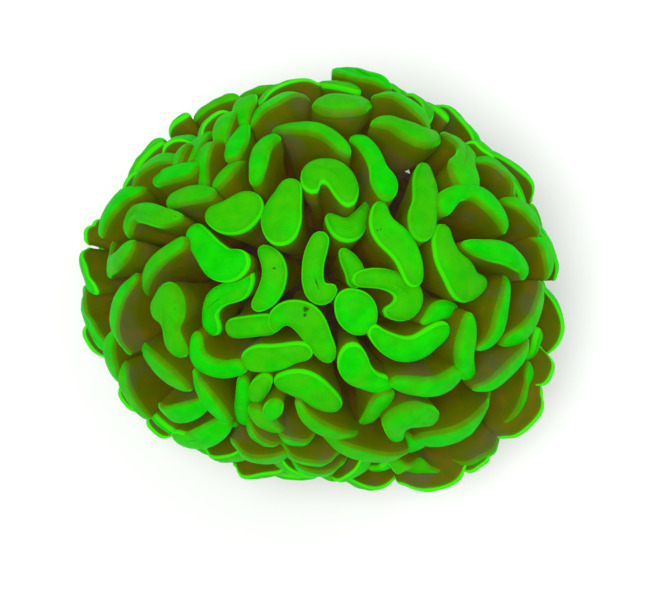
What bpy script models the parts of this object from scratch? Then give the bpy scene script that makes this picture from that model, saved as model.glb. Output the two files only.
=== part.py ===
"""Hammer coral: a cut stump that forks into five branches, thirteen stony corallites
and the thirteen fleshy polyps that open from their mouths into one dome.

Every length is written in millimetres and turned into metres when the mesh is made.
The origin is the centre of the flat cut that the colony stands on, with +Z up and the
long way of the dome along X.
"""

import math

import bmesh
import bpy
from mathutils import Matrix, Vector

MM = 0.001
GAP = 0.36  # left between pieces that touch

# The dome that the tentacle tips reach
DOME_CENTRE = Vector((0.0, 0.0, 46.0))
DOME_RADIUS = 67.5
DOME_RISE = 57.0
SQUASH_Y = 0.88  # the colony is narrower front to back
RIM_DROOP = 16.0  # degrees below level where the lowest tentacles end

# The cut stump
BASE_RADIUS = 30.6
BASE_EDGE = 4.6  # height of the stump's rough side above the cut
BASE_SIDES = 28

# Forks on the stump
STEM_Z = 17.0
STEM_RADIUS = 7.0
SIDE_RADIUS = 15.0
SIDE_Z = 13.0
SIDE_TILT = 30.0  # degrees from vertical
SIDE_FACET = 7.5
SIDE_REACH = 11.0
SIDE_AZIMUTH = {"right": 12.0, "back": 101.0, "left": 193.0, "front": 284.0}

# The upper fork, where the stem opens into the five upper corallites
UPPER_REACH = 13.0
UPPER_FACET = 4.9
UPPER_TILT = 45.0
UPPER_MOUTH_TILT = 42.0
UPPER_MOUTH_REACH = 31.0
UPPER_MOUTH = 10.8
TOP_MOUTH_REACH = 28.0
TOP_MOUTH = 9.8

# The lower forks, where each side branch opens into two corallites
LOWER_REACH = 9.0
LOWER_FACET = 6.3
LOWER_SPREAD = 22.5  # degrees to each side of the branch
LOWER_TILT = 86.0
LOWER_MOUTH_TILT = 74.0
LOWER_MOUTH_REACH = 34.0
LOWER_MOUTH = 10.2

CUP_SIDES = 18
CUP_RINGS = 10
CUP_LIP = 0.7  # how far the wall flares out at the mouth

LIMESTONE = (0.70, 0.62, 0.50, 1.0)
LIMESTONE_CUP = (0.76, 0.69, 0.58, 1.0)
FLESH = (0.12, 0.55, 0.02, 1.0)


def direction(tilt, azimuth):
    """Unit vector tilt degrees from vertical, towards azimuth degrees from +X."""
    t, a = math.radians(tilt), math.radians(azimuth)
    return Vector((math.sin(t) * math.cos(a), math.sin(t) * math.sin(a), math.cos(t)))


def across(axis):
    """Two unit vectors that span the plane square to axis."""
    first = Vector((0.0, 0.0, 1.0)).cross(axis)
    if first.length < 1e-4:
        first = Vector((1.0, 0.0, 0.0))
    first.normalize()
    return first, axis.cross(first).normalized()


def ring(centre, axis, radius, sides, lobes=0.0, turn=0.0):
    """Points round a centre, in the plane square to axis."""
    u, v = across(axis)
    points = []
    for i in range(sides):
        a = 2 * math.pi * i / sides
        r = radius * (1 + lobes * (math.cos(3 * a + turn) + 0.6 * math.cos(5 * a - 2 * turn)))
        points.append(centre + u * (r * math.cos(a)) + v * (r * math.sin(a)))
    return points


def clear_scene():
    for obj in list(bpy.data.objects):
        bpy.data.objects.remove(obj, do_unlink=True)


def material(name, colour, roughness):
    made = bpy.data.materials.new(name)
    made.use_nodes = True
    shader = made.node_tree.nodes["Principled BSDF"]
    shader.inputs["Base Color"].default_value = colour
    shader.inputs["Roughness"].default_value = roughness
    shader.inputs["Metallic"].default_value = 0.0
    made.diffuse_color = colour
    return made


def add_piece(name, bm, origin, colour, roughness, parent):
    """Closes the mesh into a named object whose origin is the given point."""
    bmesh.ops.recalc_face_normals(bm, faces=bm.faces)
    if bm.calc_volume(signed=True) < 0:
        bmesh.ops.reverse_faces(bm, faces=bm.faces)
    shape = Matrix.Diagonal((MM, MM * SQUASH_Y, MM, 1.0))
    place = shape @ origin
    bm.transform(Matrix.Translation(-place) @ shape)
    mesh = bpy.data.meshes.new(name)
    bm.to_mesh(mesh)
    bm.free()
    mesh.shade_smooth()
    mesh.set_sharp_from_angle(angle=math.radians(35))
    mesh.materials.append(material(name + "_material", colour, roughness))
    obj = bpy.data.objects.new(name, mesh)
    bpy.context.scene.collection.objects.link(obj)
    obj.parent = parent
    obj.location = place
    return obj


def hull(points):
    """The smallest convex solid round the points."""
    bm = bmesh.new()
    for point in points:
        bm.verts.new(point)
    made = bmesh.ops.convex_hull(bm, input=bm.verts, use_existing_faces=False)
    loose = {g for g in made["geom_interior"] + made["geom_unused"] if isinstance(g, bmesh.types.BMVert)}
    bmesh.ops.delete(bm, geom=list(loose), context="VERTS")
    bmesh.ops.dissolve_limit(bm, angle_limit=math.radians(0.2), verts=bm.verts, edges=bm.edges)
    return bm


def loft(rings):
    """A closed tube through rings of equally many points, with flat ends."""
    bm = bmesh.new()
    rows = [[bm.verts.new(point) for point in points] for points in rings]
    count = len(rows[0])
    for low, high in zip(rows, rows[1:]):
        for i in range(count):
            j = (i + 1) % count
            bm.faces.new((low[i], low[j], high[j], high[i]))
    bm.faces.new(rows[0][::-1])
    bm.faces.new(rows[-1])
    return bm


def bezier(a, b, c, d, t):
    s = 1 - t
    return a * s**3 + b * (3 * s * s * t) + c * (3 * s * t * t) + d * t**3


def bezier_tangent(a, b, c, d, t):
    s = 1 - t
    return ((b - a) * (s * s) + (c - b) * (2 * s * t) + (d - c) * (t * t)).normalized()


class Corallite:
    """A stony cup that grows from a facet of its branch to its mouth, and its polyp."""

    def __init__(self, where, facet_centre, facet_axis, facet_radius, heading, mouth_axis, reach, mouth_radius):
        self.where = where
        self.facet = (facet_centre, facet_axis, facet_radius)
        self.heading = heading
        self.mouth_axis = mouth_axis
        self.mouth = DOME_CENTRE + heading * reach
        self.mouth_radius = mouth_radius

    def facet_ring(self, lift=0.0):
        centre, axis, radius = self.facet
        return ring(centre + axis * lift, axis, radius, CUP_SIDES)

    def cup(self):
        """Neck, swelling body and a lip that flares a little at the mouth."""
        centre, axis, radius = self.facet
        start = centre + axis * GAP
        end = self.mouth
        bend = (end - start).length / 3
        line = (start, start + axis * bend, end - self.mouth_axis * bend, end)
        turn = self.mouth.x * 0.09 + self.mouth.y * 0.06
        u, v = across(axis)
        before = axis
        rings = []
        for i in range(CUP_RINGS):
            t = i / (CUP_RINGS - 1)
            along = bezier_tangent(*line, t)
            spin = before.rotation_difference(along)
            u = (spin @ u).normalized()
            v = along.cross(u).normalized()
            before = along
            swell = t * t * (3 - 2 * t)
            size = radius + (self.mouth_radius - CUP_LIP - radius) * (0.35 * t + 0.65 * swell)
            size += CUP_LIP * t**8
            lobes = 0.025 * math.sin(math.pi * min(1.0, t * 1.3))
            point = bezier(*line, t)
            around = []
            for k in range(CUP_SIDES):
                a = 2 * math.pi * k / CUP_SIDES
                r = size * (1 + lobes * (math.cos(3 * a + turn) + 0.6 * math.cos(5 * a - 2 * turn)))
                around.append(point + u * (r * math.cos(a)) + v * (r * math.sin(a)))
            rings.append(around)
        return loft(rings)

    def crown(self, others, lower_rim):
        """The space that the polyp's tentacles fill: its share of the dome above the mouth."""
        bm = bmesh.new()
        bmesh.ops.create_icosphere(bm, subdivisions=4, radius=1.0)
        bm.transform(
            Matrix.Translation(DOME_CENTRE) @ Matrix.Diagonal((DOME_RADIUS, DOME_RADIUS, DOME_RISE, 1.0))
        )
        cuts = []
        for other in others:
            apart = other.heading - self.heading
            if apart.length < 1.25:
                normal = apart.normalized()
                cuts.append((DOME_CENTRE - normal * (GAP / 2), normal))
        if lower_rim:
            flat = Vector((self.heading.x, self.heading.y, 0.0)).normalized()
            droop = math.radians(RIM_DROOP)
            cuts.append((DOME_CENTRE, Vector((-flat.x * math.sin(droop), -flat.y * math.sin(droop), -math.cos(droop)))))
        cuts.append((self.mouth + self.mouth_axis * GAP, -self.mouth_axis))
        for point, normal in cuts:
            bmesh.ops.bisect_plane(
                bm,
                geom=bm.verts[:] + bm.edges[:] + bm.faces[:],
                dist=1e-4,
                plane_co=point,
                plane_no=normal,
                clear_outer=True,
            )
            bmesh.ops.holes_fill(bm, edges=bm.edges, sides=0)
        bmesh.ops.dissolve_degenerate(bm, dist=1e-3, edges=bm.edges)
        return bm


def main():
    clear_scene()
    colony = bpy.data.objects.new("hammer_coral_colony", None)
    bpy.context.scene.collection.objects.link(colony)

    # The stump: a lobed flat cut below, one level facet for the stem and four tilted
    # ones for the side branches above
    up = Vector((0.0, 0.0, 1.0))
    stem_foot = up * STEM_Z
    sides = {}
    for side, azimuth in SIDE_AZIMUTH.items():
        out = direction(90.0, azimuth)
        sides[side] = (out * SIDE_RADIUS + up * SIDE_Z, direction(SIDE_TILT, azimuth), azimuth)
    stump = ring(Vector(), up, BASE_RADIUS, BASE_SIDES, 0.018, 0.6)
    stump += ring(up * BASE_EDGE, up, BASE_RADIUS - 2.4, BASE_SIDES, 0.018, 0.6)
    stump += ring(stem_foot, up, STEM_RADIUS, CUP_SIDES)
    for foot, axis, _ in sides.values():
        stump += ring(foot, axis, SIDE_FACET, CUP_SIDES)
    add_piece("trunk", hull(stump), Vector(), LIMESTONE, 0.92, colony)

    # The stem and its upper fork
    top = Corallite(
        "top", DOME_CENTRE + up * UPPER_REACH, up, UPPER_FACET, direction(2.0, 250.0), up, TOP_MOUTH_REACH, TOP_MOUTH
    )
    uppers = []
    for side, (_, _, azimuth) in sides.items():
        axis = direction(UPPER_TILT, azimuth)
        uppers.append(
            Corallite(
                side + "_upper",
                DOME_CENTRE + axis * UPPER_REACH,
                axis,
                UPPER_FACET,
                axis,
                direction(UPPER_MOUTH_TILT, azimuth),
                UPPER_MOUTH_REACH,
                UPPER_MOUTH,
            )
        )
    stem = ring(stem_foot + up * GAP, up, STEM_RADIUS, CUP_SIDES)
    for corallite in [top] + uppers:
        stem += corallite.facet_ring()
    add_piece("branch_centre", hull(stem), stem_foot, LIMESTONE, 0.92, colony)

    # The side branches and their lower forks
    lowers = []
    for side, (foot, axis, azimuth) in sides.items():
        fork = foot + axis * SIDE_REACH
        body = ring(foot + axis * GAP, axis, SIDE_FACET - 0.1, CUP_SIDES)
        for number, spread in ((1, -LOWER_SPREAD), (2, LOWER_SPREAD)):
            out, aside = direction(90.0, azimuth), direction(90.0, azimuth + 90.0)
            facet_axis = (out * 0.34 + aside * math.copysign(0.6, spread) + up * 0.72).normalized()
            corallite = Corallite(
                "%s_lower_%d" % (side, number),
                fork + facet_axis * LOWER_REACH,
                facet_axis,
                LOWER_FACET,
                direction(LOWER_TILT, azimuth + spread),
                direction(LOWER_MOUTH_TILT, azimuth + spread),
                LOWER_MOUTH_REACH,
                LOWER_MOUTH,
            )
            lowers.append(corallite)
            body += corallite.facet_ring()
        add_piece("branch_" + side, hull(body), foot, LIMESTONE, 0.92, colony)

    # Stony cups and the polyps in their mouths
    everyone = [top] + uppers + lowers
    for corallite in everyone:
        others = [other for other in everyone if other is not corallite]
        add_piece("corallite_" + corallite.where, corallite.cup(), corallite.mouth, LIMESTONE_CUP, 0.88, colony)
        crown = corallite.crown(others, corallite in lowers)
        add_piece("polyp_" + corallite.where, crown, corallite.mouth, FLESH, 0.45, colony)


main()
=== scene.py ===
"""Looks of the hammer coral: fleshy polyps with hammer-tipped tentacles on a ribbed
stony skeleton. Lengths are in millimetres until a mesh is made, in the frame of the
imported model: origin at the centre of the flat cut, +Z up."""

import math

import bmesh
import bpy
import numpy as np
from mathutils import Matrix, Vector, noise


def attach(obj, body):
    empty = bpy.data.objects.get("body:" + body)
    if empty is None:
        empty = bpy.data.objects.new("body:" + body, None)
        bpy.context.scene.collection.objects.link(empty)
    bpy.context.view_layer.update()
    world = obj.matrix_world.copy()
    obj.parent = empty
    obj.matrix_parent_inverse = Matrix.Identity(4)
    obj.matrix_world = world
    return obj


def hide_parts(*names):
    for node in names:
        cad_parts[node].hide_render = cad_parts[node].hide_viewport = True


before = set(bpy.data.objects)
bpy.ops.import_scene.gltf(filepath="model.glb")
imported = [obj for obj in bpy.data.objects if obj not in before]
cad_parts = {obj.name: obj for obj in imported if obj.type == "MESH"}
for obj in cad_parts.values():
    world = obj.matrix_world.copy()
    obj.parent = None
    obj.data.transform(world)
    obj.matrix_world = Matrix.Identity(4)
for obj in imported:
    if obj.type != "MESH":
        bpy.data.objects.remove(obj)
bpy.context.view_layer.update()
MM = 0.001
RNG = np.random.default_rng(20)

# ---------------------------------------------------------------- the colony's plan
DOME_CENTRE = np.array([0.0, 0.0, 46.0])
DOME_RADIUS, DOME_RISE, SQUASH_Y = 67.5, 57.0, 0.88
SHAPE = np.array([1.0, SQUASH_Y, 1.0])
SEMI = np.array([DOME_RADIUS, DOME_RADIUS * SQUASH_Y, DOME_RISE])
SIDE_AZIMUTH = {"right": 12.0, "back": 101.0, "left": 193.0, "front": 284.0}
STEM_Z, SIDE_RADIUS, SIDE_Z, SIDE_TILT, SIDE_REACH = 17.0, 15.0, 13.0, 30.0, 11.0
UPPER_REACH, UPPER_FACET, UPPER_TILT, UPPER_MOUTH_TILT = 13.0, 4.9, 45.0, 42.0
UPPER_MOUTH_REACH, UPPER_MOUTH, TOP_MOUTH_REACH, TOP_MOUTH = 31.0, 10.8, 28.0, 9.8
LOWER_REACH, LOWER_FACET, LOWER_SPREAD, LOWER_TILT = 9.0, 6.3, 22.5, 86.0
LOWER_MOUTH_TILT, LOWER_MOUTH_REACH, LOWER_MOUTH = 74.0, 34.0, 10.2
GAP = 0.36


def unit(v):
    v = np.asarray(v, float)
    return v / np.linalg.norm(v)


def smooth(a, b, x):
    t = np.clip((np.asarray(x, float) - a) / (b - a), 0, 1)
    return t * t * (3 - 2 * t)


def direction(tilt, azimuth):
    t, a = math.radians(tilt), math.radians(azimuth)
    return np.array([math.sin(t) * math.cos(a), math.sin(t) * math.sin(a), math.cos(t)])


# ---------------------------------------------------------------- the viewing angle
# A view from almost straight above. F is the focal length in pixels of a 664 x 612 frame.
ELEVATION, DISTANCE, PX = 80.0, 600.0, 0.28
FOCAL = DISTANCE / PX
EL = math.radians(ELEVATION)
RIGHT = np.array([1.0, 0.0, 0.0])
UP = np.array([0.0, math.sin(EL), math.cos(EL)])
AHEAD = np.array([0.0, math.cos(EL), -math.sin(EL)])
TARGET = DOME_CENTRE + RIGHT * 3.2 - UP * 7.3
EYE = TARGET - AHEAD * DISTANCE


def ray(x, y):
    return unit(AHEAD + RIGHT * ((x - 332.0) / FOCAL) + UP * ((306.0 - y) / FOCAL))


def to_frame(p):
    q = np.asarray(p, float) - EYE
    depth = q @ AHEAD
    return 332.0 + FOCAL * (q @ RIGHT) / depth, 306.0 - FOCAL * (q @ UP) / depth, depth


CENTRE_XY = to_frame(DOME_CENTRE)[:2]


def on_dome(x, y, lift):
    """Where the line of sight through a pixel meets the dome that is lift mm above the tips' one."""
    semi = SEMI - 2.0 + lift
    d = ray(x, y)
    o, e = (EYE - DOME_CENTRE) / semi, d / semi
    a, b, c = e @ e, 2 * (o @ e), o @ o - 1
    disc = b * b - 4 * a * c
    return EYE + d * ((-b - math.sqrt(max(disc, 0.0))) / (2 * a))


def dome_normal(p):
    return unit((p - DOME_CENTRE) / SEMI**2)


# ---------------------------------------------------------------- the tentacle tips
# Each hammer tip is a spine drawn in the 664 x 612 frame: (x, y, half width), then
# how far it stands above (+) or below (-) its neighbours in mm.
TIPS = {
    "S01": ([(160, 156, 1.5), (165, 148, 1.5), (173, 142, 1.5), (181, 140.5, 1.5), (187, 144, 1)], -1),
    "T02": ([(132, 189, 1.3), (135, 182, 2), (139, 175, 2.4), (145, 168.5, 3), (153, 163, 3.5), (161, 160, 3), (168, 159.5, 3), (172.5, 160.5, 2.2)], 0),
    "S03": ([(123.5, 190, 1.2), (127, 183, 1.3), (132, 176.5, 1.3), (139, 170.5, 1.3)], -1),
    "T04": ([(178.5, 162, 1.5), (179, 157, 2.2), (182, 151.5, 2.2), (186.5, 146.5, 1.2)], 0),
    "T05": ([(207, 136, 5), (200, 142, 7), (195, 150, 7), (192, 158, 6)], -2),
    "T06": ([(221, 141, 1.8), (213, 143, 2.6), (206.5, 149.5, 3.2), (203, 157, 3.8), (201.8, 166, 4.2), (203, 175, 5), (204, 181, 4.2)], 0.5),
    "S07": ([(201, 131, 1.3), (206, 124, 1.5), (213, 117.5, 1.5), (221, 112.8, 1.5), (228, 110.8, 1.3)], -1),
    "T08": ([(231, 111.5, 1.8), (226.5, 117.5, 2.6), (223.5, 125, 2.6), (222, 133, 2.4), (221.5, 138, 2)], 0),
    "T09": ([(250, 95.5, 2), (246.5, 99, 3), (244.7, 105, 3.4), (243.7, 111, 2.8), (243.3, 116, 1.6)], 0),
    "T10": ([(252, 118, 2.5), (247, 124, 4.5), (243, 132, 6.5), (239, 140, 9), (236, 148, 9.5), (234, 155, 8)], -1),
    "T11": ([(255.5, 116, 1.8), (264, 109.5, 2.6), (273, 104, 3.4), (281, 98.5, 4.2), (289, 94.8, 4.8), (296, 94.3, 4.8), (301.5, 95.3, 3.5)], 0),
    "S12": ([(269, 95, 1.3), (276, 89, 1.6), (285, 84.8, 1.8), (295, 82, 2), (305, 80.8, 2), (315, 81, 2), (323, 82, 1.5)], -1),
    "T13": ([(316.5, 106.5, 3.5), (324, 103.5, 6.5), (333, 104.5, 10.5), (342, 104.5, 12.4), (351, 103.7, 12), (360, 102.3, 9.5), (367.5, 102.8, 5.5)], 0.5),
    "T14": ([(331, 78, 1.8), (338, 73, 3), (345, 72, 4.5), (352, 76, 5.5), (359, 81, 6), (366, 85.5, 5), (371, 89, 3)], 0),
    "S15": ([(372, 81.5, 1.2), (380, 82.5, 1.5), (388, 85.5, 2.2), (394, 89, 3.5), (399, 92, 3.5)], -1),
    "S16": ([(404, 94, 3.5), (411, 95.5, 4.5), (417, 99, 4.5), (420.5, 104, 3)], -1),
    "T17": ([(375, 97, 1.5), (383, 96, 2.4), (391, 95.8, 3.2), (399, 98, 4), (406, 103, 5), (413, 109, 6), (419, 114, 6.2), (424, 119, 4.5)], 0.5),
    "T18": ([(372.5, 125.5, 3.5), (379, 123, 6.2), (387, 123, 6.6), (395, 125.5, 7), (403, 129.5, 8.5), (411, 133.5, 10.2), (420, 137, 10.8), (429, 137.8, 9.8), (436.5, 138, 6.8), (440.5, 138.5, 3.5)], 0.5),
    "S19": ([(428, 99.5, 1.2), (436, 101, 1.5), (444, 105, 2.5), (452, 111, 4), (458, 118, 5.2), (463, 125, 5), (467.5, 132, 3)], -1),
    "T20": ([(448.5, 138, 3.5), (455, 141, 6.5), (462, 146.5, 9), (465.5, 154, 9.3), (464.5, 162, 10.8), (463, 170, 12), (463.5, 177, 10)], -0.5),
    "S21": ([(474, 142, 1), (480, 149, 1.5), (486, 153, 2), (493, 158, 1.5)], -1),
    "S22": ([(499, 160.2, 1.2), (507, 162, 1.6), (515, 167, 2.4), (523, 173.5, 2.8), (530, 181.5, 2.6), (535, 190, 2), (537, 199, 1.5), (536, 207, 1.2)], -1),
    "T23": ([(479, 162.5, 2.5), (486, 161.5, 3.2), (493, 163.5, 3.5), (500, 168, 3.6), (506, 174.5, 3.6), (511, 182, 3.2), (513, 189.5, 2.8), (512, 196, 1.8)], 0),
    "T24": ([(443, 208, 7.5), (446, 201, 10), (454, 194.5, 8.8), (463, 192.5, 7.6), (472, 193.5, 7.8), (480, 197, 8.5), (487.5, 203, 9), (494, 210, 8.6), (499.5, 217.5, 8), (503, 225, 5.5), (502.5, 231, 2.8)], 1),
    "T25": ([(514, 203, 2.8), (520, 206.5, 3.6), (526.5, 212, 4), (532.5, 218.5, 4.2), (537, 226, 4), (538.5, 232, 2.5)], 0),
    "T26": ([(464, 244.5, 4), (472, 246.5, 7), (481, 249, 9), (490, 250.5, 10.8), (499, 252, 11.5), (507, 254.5, 11), (514, 259.5, 9.5), (520.5, 265.5, 7.5), (523.5, 272, 5), (522, 278, 2.8)], 0.5),
    "T27": ([(538.5, 240.5, 2), (542.5, 246.5, 3.6), (545.8, 253.5, 4.8), (547.5, 261, 5.4), (547.5, 269, 5.2), (547, 275, 3.8)], 0),
    "S27": ([(541, 237, 1.2), (548, 244, 1.3), (553, 254, 1.5), (556, 266, 1.5), (557, 277, 1.5), (557, 285, 1.3)], -1),
    "T28": ([(540.5, 283.5, 3), (540, 292, 4.6), (538, 302, 5), (535, 312, 5), (531.5, 321, 5.2), (526, 329, 6), (518.5, 333.5, 6.8), (511.5, 335.5, 5)], 0),
    "T29": ([(506, 279.5, 3.8), (505, 288, 5.2), (503.5, 297, 5.6), (501.5, 306, 6.2), (499.5, 315, 6.8), (497.5, 324, 6.6), (494.5, 332.5, 6.2), (489, 340.5, 5.6), (482.5, 345.5, 4.8), (478, 347, 3.6)], 0.5),
    "T30": ([(442.5, 231, 7), (442, 240, 9.5), (444.5, 250, 11), (448, 259, 13), (454, 268, 15), (461, 277, 18), (466, 284.5, 16.5), (473, 285.5, 14), (481, 283.5, 8.5)], 0),
    "T31": ([(423, 322, 3), (429, 317, 5.5), (436, 311, 8.5), (443, 309.5, 9.5), (450, 309.5, 7.5), (454, 308.5, 4)], -3),
    "T32": ([(468, 319, 5.5), (467.5, 328, 7.5), (465.5, 338, 9), (464, 348, 10), (464, 358, 10), (466, 368, 9.5), (470, 377, 7.5)], 0),
    "T33": ([(396, 382, 6), (405, 384, 8), (415, 385.5, 9), (426, 386.5, 9.5), (437, 385, 10), (447, 380.5, 11), (454, 375, 9.5)], 0.5),
    "T34": ([(528, 341.5, 2.8), (525, 350, 4.6), (519, 358, 5.8), (512, 364.5, 6.5), (505, 371.5, 6.8), (497, 379, 6), (489, 385, 4.5), (481, 388, 2.4)], 0.5),
    "S35": ([(549, 296, 1.2), (554.5, 300.5, 1.6), (559, 309, 2), (561, 319, 2.2), (561, 330, 2.2), (559, 341, 2.2), (555, 350, 2.4), (549.5, 357, 1.8)], -1),
    "S36": ([(553.5, 361, 1.2), (551.5, 370, 1.6), (547.5, 379, 1.6), (541, 386.5, 1.3)], -1),
    "T37": ([(527.5, 372, 1.8), (530, 380, 2.6), (529, 390, 3), (524.5, 400, 3.8), (517.5, 410.5, 4.2), (509, 420, 4.2), (500, 428, 3.8), (490, 432.5, 2.6)], 0),
    "S38": ([(541.5, 395, 1.2), (543, 402, 1.3), (539.5, 412, 1.5), (533, 421, 1.6), (524.5, 429, 1.6), (514, 436, 1.5), (507, 439, 1.2)], -1),
    "T39": ([(492, 397, 6.5), (487, 405, 7), (481, 414, 7.3), (474, 422.5, 8), (465, 430, 8.3), (454, 435, 7.8), (442, 438, 7.2), (430, 439.5, 6.8), (421.5, 439, 5)], 0.5),
    "T40": ([(396.5, 437, 7.5), (395, 428, 10.5), (398.5, 420, 12), (407, 415.5, 12.5), (416, 415.5, 12.5), (425, 416.5, 12), (433, 418.5, 8.5)], 1),
    "T41": ([(383, 397, 7.5), (379, 403, 8), (374, 411, 7.6), (368, 418.5, 7), (363, 423, 5.5)], -2),
    "T42": ([(373.5, 330.5, 7), (379, 337, 9), (386.5, 342.5, 11), (395, 347, 12.3), (404, 349.3, 12.7), (413, 348.5, 12.3), (422, 344.5, 12), (430, 338.5, 11), (437.5, 333.5, 10.2), (442.5, 330.5, 8)], 0.5),
    "T43": ([(350, 304, 16), (356, 311, 21), (359, 317, 19)], 1),
    "T44": ([(360, 279, 8.5), (370, 278, 10), (381, 278.5, 10.5), (392, 281.5, 11), (402, 287, 12), (409.5, 296, 14), (406, 306, 14), (397, 311, 10), (388, 311.5, 6)], -1.5),
    "T45": ([(380, 208, 7.5), (380, 217, 10), (383, 227, 12.5), (390, 235, 14.5), (398, 242, 15), (404, 250, 14), (408.5, 259, 13), (411.5, 268, 12), (413.5, 277, 10)], 1.5),
    "T46": ([(329, 217, 4.5), (335.5, 224, 8.5), (344, 230, 11.5), (352.5, 228.5, 12), (359, 219.5, 9), (364.5, 209.5, 5.5), (367.5, 203, 3)], -3),
    "T47": ([(314, 189, 5.5), (310.5, 182, 9.5), (314.5, 173.5, 12), (324, 170.5, 11.5), (334, 173, 13), (341.5, 181, 14), (345.5, 190, 13), (347.5, 198, 9)], 0.5),
    "T48": ([(355.5, 140.5, 5.5), (362.5, 143, 7.5), (369, 150, 8.5), (374, 158.5, 8.5), (377.5, 167, 8.5), (381, 176, 10), (385, 184.5, 12.5), (385.5, 192, 9.5)], 0.5),
    "T49": ([(423.5, 168, 6.5), (424, 178, 10.5), (425, 188, 12.5), (425.5, 198, 12.8), (424.5, 208, 13), (422.5, 218, 14.3), (421.5, 228, 12)], 0.5),
    "T50": ([(216, 215.5, 12), (226, 217, 16.5), (237, 214.5, 19), (245, 208.5, 17.5)], 1),
    "T51": ([(290, 189, 12), (287, 199, 14.5), (283, 209, 18), (281, 219, 20.5), (281, 228, 18)], 1.5),
    "T52": ([(196, 234.5, 11.5), (202.5, 243.5, 13.5), (209.5, 253, 15), (217.5, 262, 17.5), (226, 266.5, 16), (234.5, 264, 14.5), (240.5, 260, 9)], 1.5),
    "T53": ([(244, 278, 10), (238, 288, 12.5), (228, 293, 11), (217, 298.5, 10.5), (211.5, 308, 8.5), (210.5, 318, 8), (213, 326.5, 9), (215.5, 330, 5.5)], -2.5),
    "T54": ([(264, 251, 7), (271, 259, 11), (274.5, 269, 12.5), (274, 279, 12.7), (271, 289, 12.5), (265.5, 298, 11), (258, 305, 7.5)], -0.5),
    "T55": ([(235, 328, 10.5), (245, 327, 11), (256, 325.5, 11), (268, 324.5, 11)], -2),
    "T56": ([(274.5, 329, 4.5), (277.5, 318.5, 9.5), (286, 313, 11.5), (297, 314, 14), (307, 320, 16), (314, 330, 15), (319.5, 340, 13), (325, 350, 11.5), (328, 356, 8)], 1),
    "T57": ([(320, 240, 9.5), (316.5, 250, 11), (313.5, 261, 11), (312.5, 272, 11), (313, 283, 11), (317, 293, 11), (325, 295, 9.5), (331.5, 289.5, 6.5)], 0),
    "T58": ([(343, 252, 4.5), (349, 261, 8), (354.5, 271, 9), (355, 280, 8)], -4),
    "T59": ([(253, 360, 12), (261, 358.5, 14), (271, 358, 13.5), (282, 356, 12.5), (293, 352.5, 10.5), (303, 351.5, 9.5)], 1),
    "T60": ([(197.5, 339, 6.5), (197.5, 348, 7.5), (200, 357.5, 8.5), (208, 364.5, 8.3), (218, 368, 8.5), (228, 369, 8.5), (238, 367, 8.5)], -0.5),
    "T61": ([(352, 354, 12), (353, 363, 16), (357, 372, 15), (367, 379, 11), (377, 383, 10), (384.5, 384, 9)], 1),
    "T62": ([(284, 382, 8.5), (293, 382.5, 11.5), (303, 384.5, 14), (313, 390, 14.5), (321.5, 397, 14), (329.5, 402.5, 11), (333, 404.5, 8.5)], 0.5),
    "T63": ([(266, 379, 7), (260, 387, 9.5), (256, 396, 7.5)], -0.5),
    "T64": ([(258, 412, 7.5), (264, 419, 8.5), (272, 425, 6), (282, 429, 3.2)], -0.5),
    "T65": ([(276, 404, 7), (273, 409, 9), (270, 414, 7)], 2),
    "T66": ([(243.5, 380, 4), (243.5, 395, 5), (243.5, 410, 6), (244.5, 418, 6)], -2.5),
    "T67": ([(195.5, 370, 2), (198.5, 381, 4.2), (206, 393, 6.5), (214.5, 405, 8), (223, 415, 6.5), (231, 423, 4.5), (239, 428, 2)], 0.5),
    "T68": ([(142.5, 347, 6), (149, 354.5, 7.5), (157, 362.5, 8), (165, 370, 7.8), (173, 377, 7), (181, 383, 5.5), (188, 388, 3.5)], 0.5),
    "T69": ([(160, 308, 14), (168, 304, 17), (170, 314, 12), (171, 325, 7.5), (173.5, 336, 8.5), (177, 345.5, 10)], 1),
    "T70": ([(182, 244, 6), (173, 250, 6.5), (164.5, 256, 7), (156.5, 263.5, 7.5), (150.5, 272, 7.8), (147, 281, 7.5), (145.5, 290, 7)], 0),
    "T71": ([(134.5, 286, 2.5), (127.5, 292, 3.8), (121.5, 300, 4), (117, 310, 4.2), (115, 320, 4.3), (116.3, 331, 4.5), (120.5, 341.5, 5), (126.5, 349.5, 4.8), (130.5, 353, 3)], 0),
    "T72": ([(86.5, 283, 5), (86, 292, 6), (84.5, 301, 4.6), (85, 311, 3), (87.5, 320, 2.6), (93, 327.5, 2.8), (100, 333, 2.8), (104.5, 335, 2)], 0),
    "S73": ([(84, 326, 1.3), (85, 334, 1.6), (89, 342, 1.8), (95, 350, 2), (102, 356.5, 1.8)], -1),
    "T74": ([(111, 338, 2), (110.5, 347, 4), (111, 357, 5), (113.5, 367, 5.8), (117, 376, 5), (119.5, 382, 2.5)], 0),
    "T75": ([(128, 374, 3.5), (127.5, 384, 4.8), (131, 395, 5.5), (137, 404.5, 5.5), (145, 412, 4.5), (153, 416, 2)], 0.5),
    "T76": ([(160.5, 403, 2.8), (165, 410, 4.5), (173, 414.5, 4.6), (182, 412.5, 4.6), (190.5, 406.5, 4.4), (197, 401, 2.8)], 0.5),
    "T77": ([(173.5, 426, 3.5), (177, 435, 5.2), (186, 441, 5.4), (196.5, 440, 6), (205.5, 433.5, 7), (212.5, 424.5, 7), (214, 416, 3.5)], 0.5),
    "S78": ([(146.5, 420, 1.2), (151.5, 427, 1.5), (159, 434, 1.5), (167, 438.5, 1.3)], -1),
    "S78b": ([(118, 390, 1.2), (123.5, 399, 1.2), (129, 406, 1.3), (138, 412, 1.3)], -1),
    "S79": ([(200, 448, 1.5), (209, 454.5, 2.3), (219, 457, 2.6), (227, 454.5, 2.5), (232, 449.5, 1.8)], 0),
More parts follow.
